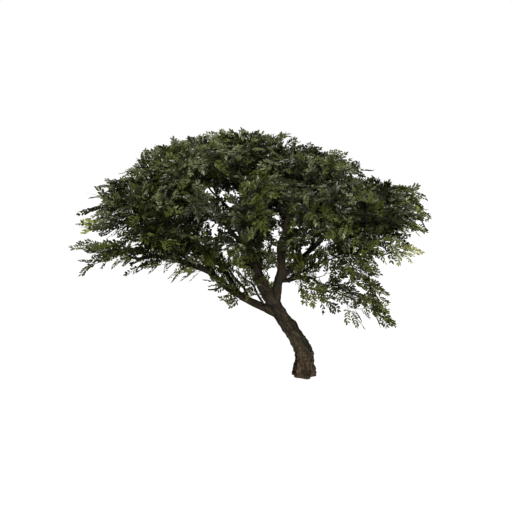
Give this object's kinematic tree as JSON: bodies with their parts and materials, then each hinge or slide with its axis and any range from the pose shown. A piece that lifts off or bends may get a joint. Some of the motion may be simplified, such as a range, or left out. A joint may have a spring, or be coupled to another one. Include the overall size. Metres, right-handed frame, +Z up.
{
  "type": "acacia tree",
  "caption": "Umbrella-shaped tree with a leaning, flared trunk that forks low, long rising boughs and a wide domed crown of small leaves; rooted in level ground.",
  "frame": {"origin": "middle of the trunk's flat cut, at ground level", "axes": "+Z up along the tree's height, +X along the crown's longest side, away from the trunk's lean, +Y away from the side shown in the picture"},
  "size_m": [9.7623, 8.5653, 6.8471],
  "materials": {
    "bark": "rough furrowed bark, dark grey-brown",
    "foliage": "small oval leaflets, dark olive green with a soft sheen"
  },
  "bodies": {
    "root": {"trunk": "bark", "bough_centre": "bark", "bough_crest_left_back": "bark", "bough_crest_left_front": "bark", "bough_crest_right_back": "bark", "bough_inner_left": "bark", "bough_inner_low": "bark", "bough_inner_right": "bark", "bough_left": "bark", "bough_left_rim": "bark", "bough_left_rim_back": "bark", "bough_left_rim_front": "bark", "bough_left_skirt_back": "bark", "bough_left_skirt_front": "bark", "bough_middle_back": "bark", "bough_middle_front": "bark", "bough_right": "bark", "bough_right_rim": "bark", "bough_right_rim_back": "bark", "bough_right_rim_front": "bark", "bough_right_skirt": "bark", "bough_right_skirt_back": "bark", "bough_right_skirt_front": "bark", "bough_rim_back": "bark", "bough_rim_front": "bark", "dead_stub": "bark", "foliage_centre": "foliage", "foliage_crest_left_back": "foliage", "foliage_crest_left_front": "foliage", "foliage_crest_right_back": "foliage", "foliage_inner_left": "foliage", "foliage_inner_low": "foliage", "foliage_inner_right": "foliage", "foliage_left": "foliage", "foliage_left_rim": "foliage", "foliage_left_rim_back": "foliage", "foliage_left_rim_front": "foliage", "foliage_left_skirt_back": "foliage", "foliage_left_skirt_front": "foliage", "foliage_middle_back": "foliage", "foliage_middle_front": "foliage", "foliage_right": "foliage", "foliage_right_rim": "foliage", "foliage_right_rim_back": "foliage", "foliage_right_rim_front": "foliage", "foliage_right_skirt": "foliage", "foliage_right_skirt_back": "foliage", "foliage_right_skirt_front": "foliage", "foliage_rim_back": "foliage", "foliage_rim_front": "foliage"}
  },
  "joints": []
}
